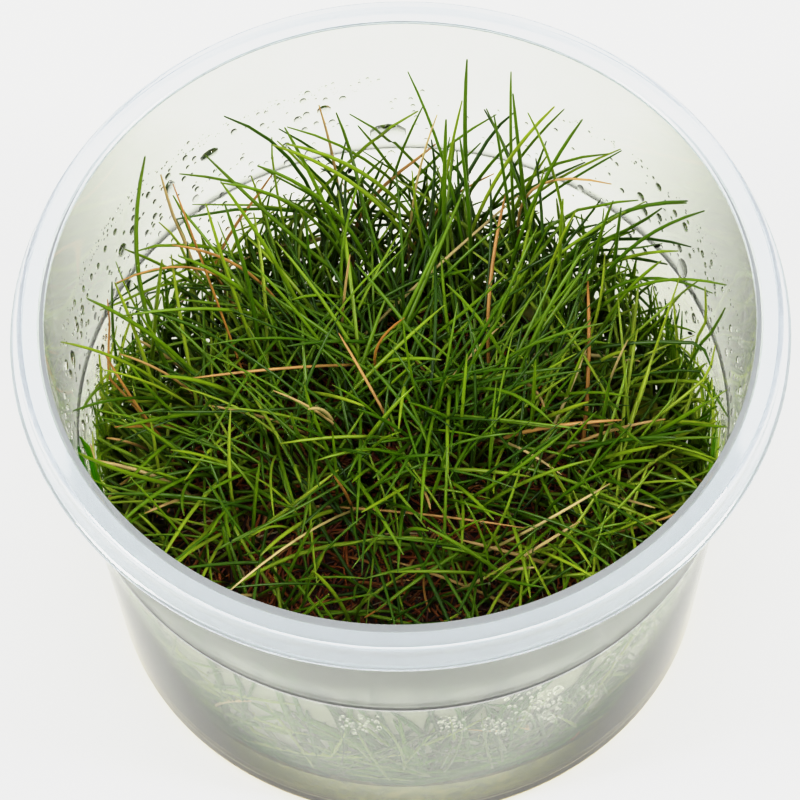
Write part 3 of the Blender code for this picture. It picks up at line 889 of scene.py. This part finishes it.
def pressed_stems(start, end, tufts, stems, radius_range, length_range, tint_range, rng):
    """Tufts that grew against the wall: their stems' paths, radii and tints."""
    count = tufts * stems
    azimuth = np.repeat(np.radians(rng.uniform(start, end, tufts)), stems)
    azimuth += rng.normal(0, PRESSED_SPREAD, count)
    radii = rng.uniform(*radius_range, count)
    curl = np.where(rng.uniform(0, 1, count) < PRESSED_ARCHES,
                    rng.choice((-PRESSED_ARCH, PRESSED_ARCH), count), rng.normal(0, PRESSED_CURL, count))
    return along_wall(rng.uniform(*PRESSED_FOOT, count), azimuth, rng.uniform(*length_range, count),
                      rng.normal(0, PRESSED_LEAN, count), curl, rng.uniform(*PRESSED_GAP, count) * MM,
                      radii, tint_range, rng)


def lying(count, azimuths, feet, lengths, radius_range, lean, gaps, tint_range, rng):
    """Stems or roots that run along the wall: their paths, radii and tints."""
    radii = rng.uniform(*radius_range, count)
    return along_wall(rng.uniform(*feet, count), np.radians(rng.uniform(*azimuths, count)),
                      rng.uniform(*lengths, count),
                      rng.choice((-1, 1), count) * rng.normal(lean, LYING_SPREAD, count),
                      rng.normal(0, LYING_CURL, count), rng.uniform(*gaps, count), radii, tint_range, rng)


def mat_fibres(tree, rng):
    """Roots that lie on the mat in loose bows."""
    count = MAT_FIBRES
    angle = rng.uniform(0, math.tau, count)
    out = FIBRES_REACH * np.sqrt(rng.uniform(0, 1, count))
    x, y = out * np.cos(angle), out * np.sin(angle)
    heading = rng.uniform(0, math.tau, count)
    curl = rng.normal(0, FIBRE_CURL, count)
    length = rng.uniform(*MAT_FIBRE_LENGTH, count)
    lift = rng.uniform(*FIBRE_LIFT, count) * MM
    stations = []
    for i in range(FIBRE_STATIONS):
        share = i / (FIBRE_STATIONS - 1)
        ground = np.array([height_on(tree, px, py) for px, py in zip(x, y)])
        stations.append(np.stack([x, y, ground - FIBRE_DEPTH + lift * math.sin(math.pi * share)], axis=1))
        x = x + np.cos(heading + curl * share) * length / FIBRE_STATIONS
        y = y + np.sin(heading + curl * share) * length / FIBRE_STATIONS
        over = np.maximum(1.0, np.hypot(x, y) / FIBRES_REACH)
        x, y = x / over, y / over
    radii = np.repeat(rng.uniform(*FIBRE_RADII, count)[:, None], FIBRE_STATIONS, axis=1)
    return np.stack(stations, axis=1), radii, rng.uniform(0, 1, count)


def wall_axes(places):
    """For places on the inner wall: the ways along it, up it and out of it, into the cup."""
    out = np.hypot(places[:, 0], places[:, 1])
    radial = np.stack([places[:, 0] / out, places[:, 1] / out, np.zeros(len(places))], axis=1)
    slope = (inside_radius(places[:, 2] + MM) - inside_radius(places[:, 2] - MM)) / (2 * MM)
    up = unit(radial * np.clip(slope, 0, WALL_SLOPE_MOST)[:, None] + (0, 0, 1))
    along = unit(np.cross(radial, up))
    return np.stack([along, up, np.cross(along, up)], axis=1)


def apart(places, radii):
    """Which drops stay when each that touches an earlier one goes."""
    kept = []
    for i in range(len(places)):
        gaps = np.linalg.norm(places[kept] - places[i], axis=1) - radii[kept] - radii[i]
        if not kept or gaps.min() > DROPS_APART:
            kept.append(i)
    return kept


def condensation(mat, rng):
    """Drops on the cup's inner wall: the ones that stand out, the near wall's clusters and the fine ones."""
    drops = [(tuple(on_wall((x, y))), radius * MM, tall, DROP_SWELL) for x, y, radius, tall in TRACED_DROPS]
    for left, top, right, bottom, mean, count in NEAR_DROPS:
        for _ in range(count):
            place = on_wall((rng.uniform(left, right), rng.uniform(top, bottom)), near=True)
            if place.z <= NEAR_TOP:
                radius = mean * MM * rng.lognormal(0, NEAR_SPREAD)
                drops.append((tuple(place), radius, NEAR_TALL, NEAR_SWELL))
    for start, end, low, high, mean, count in DROP_ZONES:
        for _ in range(count):
            azimuth, height = math.radians(rng.uniform(start, end)), rng.uniform(low, high) * MM
            radius = np.clip(mean * rng.lognormal(0, DROP_SPREAD), *DROP_RANGE) * MM
            drops.append(((math.cos(azimuth), math.sin(azimuth), height), radius, DROP_TALL, DROP_SWELL))
    places, radii, talls, swells = (np.array(values) for values in zip(*drops))
    out = inside_radius(places[:, 2]) - DROP_GAP
    places[:, :2] = unit(places[:, :2]) * out[:, None]
    kept = apart(places, radii)
    sizes = radii[:, None] * np.stack([np.ones(len(radii)), talls, swells], axis=1)
    places, sizes = places[kept], sizes[kept]
    shape = small_shape(*DROP_SHAPE, half=True)
    copies("condensation", shape, places, wall_axes(places), sizes, mat)


def haze(mat):
    """The mist over the lower wall's front, highest in its middle."""
    row = MIST_COLUMNS + 1
    turn = np.radians(np.linspace(*MIST_ZONE, row))
    front = np.sin(np.linspace(0, math.pi, row)) ** MIST_ENDS
    top = MIST_BOTTOM + (MIST_TOP - MIST_BOTTOM) * front + MIST_WAVE * np.sin(turn * MIST_WAVES) * front
    share = np.linspace(0, 1, MIST_ROWS + 1)[:, None]
    height = MIST_BOTTOM + (top - MIST_BOTTOM) * share
    out = inside_radius(height) - MIST_GAP
    verts = np.stack([out * np.cos(turn), out * np.sin(turn), height], axis=2).reshape(-1, 3)
    faces = [(a, a + 1, a + row + 1, a + row) for a in range(row * MIST_ROWS) if a % row < MIST_COLUMNS]
    mesh = bpy.data.meshes.new("condensation_mist")
    mesh.from_pydata(verts, [], faces)
    film = placed("condensation_mist", mesh, mat)
    film.modifiers.new("Thickness", "SOLIDIFY").thickness = MIST_THICKNESS
    bpy.context.view_layer.objects.active = film
    bpy.ops.object.modifier_apply(modifier="Thickness")


def dew(mat, paths, radii, rng):
    """Fine drops that hang on the stems."""
    stem = rng.integers(0, len(paths), DEW_DROPS)
    station = rng.integers(DEW_LOWEST, STEM_STATIONS, DEW_DROPS)
    size = rng.uniform(*DEW_RADII, DEW_DROPS)
    aside = unit(rng.normal(0, 1, (DEW_DROPS, 3)))
    off = (radii[stem, station] + size * DEW_HANG)[:, None]
    places = within_wall(paths[stem, station] + aside * off, size)
    places[:, 2] = np.minimum(places[:, 2], GRASS_TOP - size)
    turns = np.tile(np.eye(3), (DEW_DROPS, 1, 1))
    sizes = np.repeat(size[:, None], 3, axis=1)
    copies("dew", small_shape(*DEW_SHAPE), places, turns, sizes, mat)


def spikelets(mat, paths, rng):
    """Small flower heads, each on the tip of a stem."""
    stem = rng.choice(len(paths), SPIKELETS, replace=False)
    ahead = unit(paths[stem, -1] - paths[stem, -2])
    aside = unit(np.cross(ahead, SPIKELET_FACE))
    places = within_wall(paths[stem, -1] - ahead * SPIKELET_BACK, SPIKELET_SIZE[2])
    places[:, 2] = np.minimum(places[:, 2], GRASS_TOP - SPIKELET_SIZE[2])
    axes = np.stack([aside, np.cross(ahead, aside), ahead], axis=1)
    sizes = np.tile(SPIKELET_SIZE, (SPIKELETS, 1))
    shape = small_shape(*SPIKELET_SHAPE, tip=SPIKELET_TIP)
    copies("spikelets", shape, places, axes, sizes, mat)


def camera():
    """The photo's viewpoint: a long lens that looks down into the cup."""
    data = bpy.data.cameras.new("camera")
    data.lens = LENS
    data.sensor_width = SENSOR
    cam = linked("camera", data)
    cam.matrix_world = VIEW
    bpy.context.scene.camera = cam


def softbox(name, side):
    """A square soft light that faces the cup from its left (-1) or right (1)."""
    data = bpy.data.lights.new(name, "AREA")
    data.size = LIGHT_SIZE
    data.energy = LIGHT_POWER
    lamp = linked(name, data)
    lamp.location = (side * LIGHT_PLACE[0], *LIGHT_PLACE[1:])
    lamp.rotation_euler = (Vector((0, 0, CUP_TOP / 2)) - lamp.location).to_track_quat("-Z", "Y").to_euler()


# The photo's tones: its whites are held at a pale grey and its shadows are deep
TONES = ((0.0, 0.0), (0.03, 0.02), (0.12, 0.115), (0.6, 0.6), (0.95, 0.82), (1.4, 0.865), (2.5, 0.9),
         (6.0, 1.0))
SKY_STRENGTH = 0.92
LIGHT_POWER = 9.0  # W
LIGHT_SIZE = 0.32
LIGHT_PLACE = (0.85, -0.2, 0.75)  # of the one at the right
TABLE_SIZE = 6
TABLE_GAP = 0.02 * MM


def studio():
    """A pale floor, an even bright sky and a soft light at either side."""
    world = bpy.data.worlds.new("sky")
    world.use_nodes = True
    sky = world.node_tree.nodes["Background"]
    sky.inputs["Color"].default_value = linear("#FFFEFB")
    sky.inputs["Strength"].default_value = SKY_STRENGTH
    bpy.context.scene.world = world
    softbox("left_light", -1)
    softbox("right_light", 1)
    bpy.ops.mesh.primitive_plane_add(size=TABLE_SIZE, location=(0, 0, -TABLE_GAP))
    floor = bpy.context.object
    floor.name = "floor"
    floor.data.materials.append(laminate())
    floor.select_set(False)
    settings = bpy.context.scene.view_settings
    settings.view_transform = "Standard"
    settings.use_curve_mapping = True
    tones = settings.curve_mapping
    tones.clip_max_x = TONES[-1][0]
    curve = tones.curves[3]
    while len(curve.points) < len(TONES):
        curve.points.new(0.5, 0.5)
    for point, place in zip(curve.points, TONES):
        point.location = place
        point.handle_type = "AUTO_CLAMPED"
    tones.update()


SEED = 11


def main():
    """Sets the view and the light, then makes the cup, its gel and roots, the grass and the wet."""
    rng = np.random.default_rng(SEED)
    camera()
    studio()
    culture_cup()
    gel_disc(culture_gel())
    tree = peat_dome(root_peat("damp_root_peat", "#0C0502", "#3A1709"))
    stems = green_stem("fresh_sedge_stem", FRESH_GREENS, 0.45)
    wetted = green_stem("wetted_sedge_stem", WETTED_GREENS, 0.05)
    fibre = root_fibre()
    grass = []
    for name in TUFTS:
        paths, radii, tints = tuft_stems(name, tree, rng)
        strands(name.replace("tuft", "stems"), paths, radii, tints, STEM_SIDES, stems, "green_stem", name)
        grass.append((paths, radii))
    strands("long_stems", *traced_stems(tree, TRACED_GREEN, TRACED_RADII, TRACED_TINTS, rng),
            TRACED_SIDES, stems, "green_stem")
    strands("dead_stems", *traced_stems(tree, TRACED_DEAD, TRACED_DEAD_RADII, DEAD_TINTS, rng),
            TRACED_SIDES, stems, "green_stem")
    strands("front_stems", *pressed_stems(*FRONT_TUFTS, rng), STEM_SIDES, wetted, "green_stem")
    strands("wall_stems", *pressed_stems(*WALL_TUFTS, rng), STEM_SIDES, stems, "green_stem")
    strands("mat_roots", *mat_fibres(tree, rng), FIBRE_SIDES, fibre, "root_tangle")
    strands("lying_stems", *lying(*LYING_STEMS, rng), STEM_SIDES, wetted, "green_stem")
    strands("gel_roots", *lying(*GEL_ROOTS, rng), FIBRE_SIDES, fibre, "root_tangle")
    paths, radii = (np.concatenate(arrays) for arrays in zip(*grass))
    drops = water()
    condensation(drops, rng)
    haze(mist())
    dew(drops, paths, radii, rng)
    spikelets(stems, paths, rng)


main()
